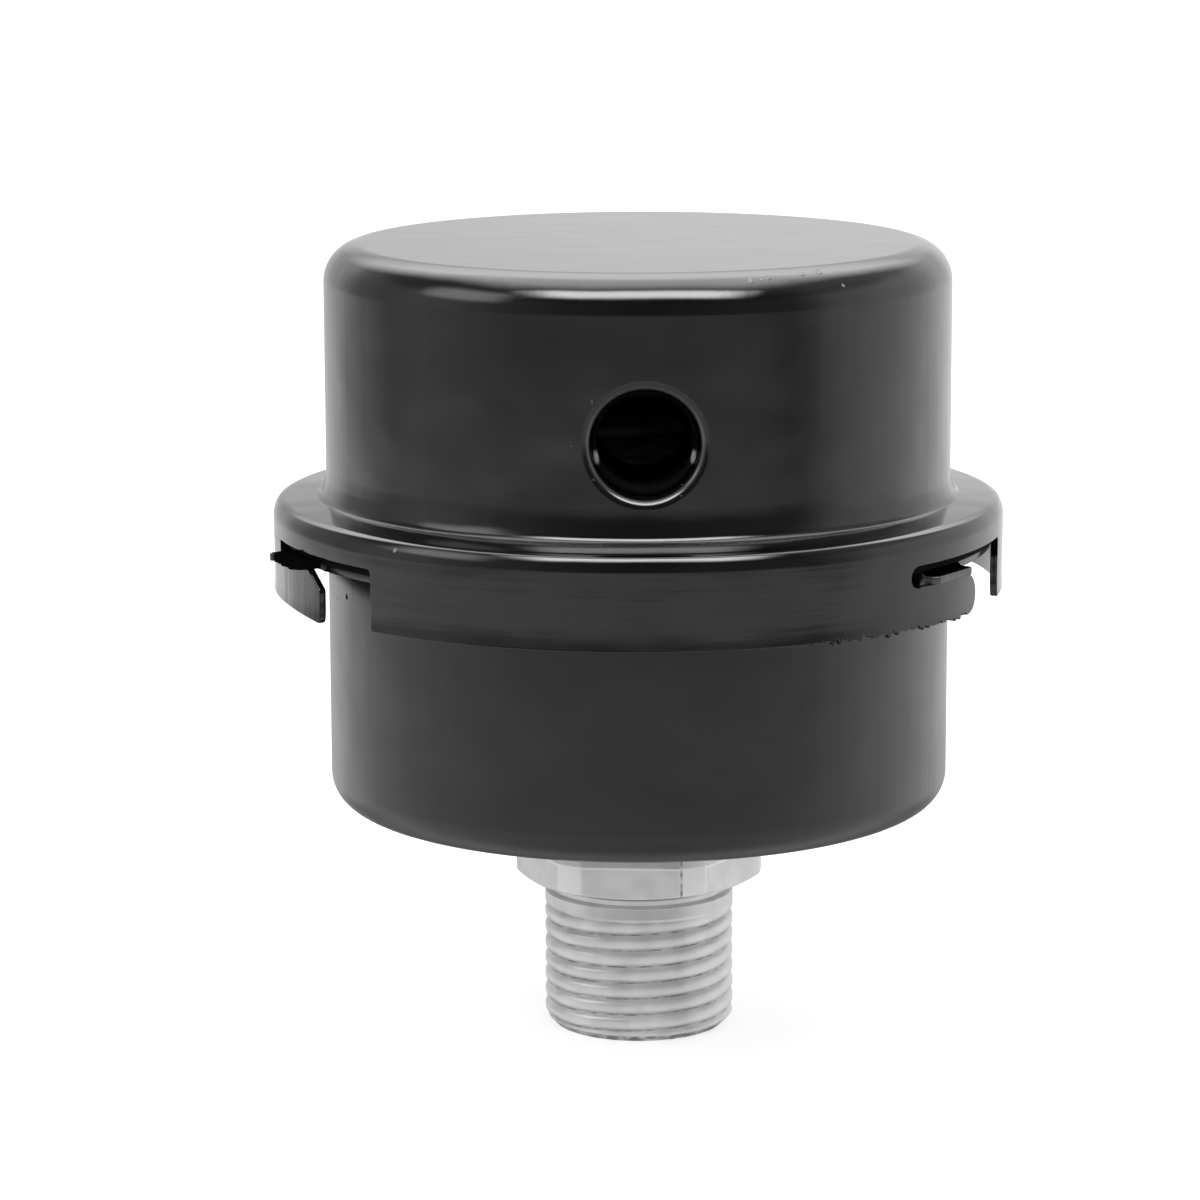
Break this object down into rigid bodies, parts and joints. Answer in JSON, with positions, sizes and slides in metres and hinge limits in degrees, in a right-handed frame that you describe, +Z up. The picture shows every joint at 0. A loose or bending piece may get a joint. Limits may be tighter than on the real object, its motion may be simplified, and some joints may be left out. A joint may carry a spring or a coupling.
{
  "type": "compressor intake filter",
  "caption": "Air intake filter in a drawn steel housing: bayonet cover with a side inlet, pleated element, and a hollow hexagon fitting with a pipe thread.",
  "frame": {"origin": "on the axis of the filter, at the free end of its thread", "axes": "+Z up along the axis, towards the flat top of the cover; -Y towards the inlet hole"},
  "size_m": [0.08, 0.0811, 0.0876],
  "materials": {
    "cover_enamel": "glossy black baked enamel",
    "cup_enamel": "satin black baked enamel",
    "tube_steel": "thin black paint on rolled steel",
    "inner_steel": "zinc plated sheet",
    "spring_steel": "black phosphated wire",
    "plated_fitting": "zinc plated, turned",
    "washer_metal": "dull soft washer",
    "black_rubber": "matt moulded rubber",
    "red_potting": "cast plastisol",
    "filter_paper": "resin treated paper"
  },
  "bodies": {
    "base": {"base_shell": "cup_enamel", "outlet_fitting": "plated_fitting", "sealing_washer": "washer_metal", "lock_washer": "inner_steel", "lock_nut": "plated_fitting", "seat_ring": "black_rubber", "element_lower_cap": "inner_steel", "element_lower_potting": "red_potting", "element_core": "inner_steel", "pleated_paper": "filter_paper", "element_upper_potting": "red_potting", "element_upper_cap": "inner_steel"},
    "cover": {"cover_shell": "cover_enamel", "inlet_tube": "tube_steel", "spring_cup": "inner_steel", "hold_down_spring": "spring_steel", "cover_gasket": "black_rubber"}
  },
  "joints": [
    {"name": "cover_twist", "type": "hinge", "parent": "base", "child": "cover", "pos_m": [0, 0, 0.0594], "axis": [0, 0, 1], "range_deg": [-14.6, 3.8]}
  ]
}
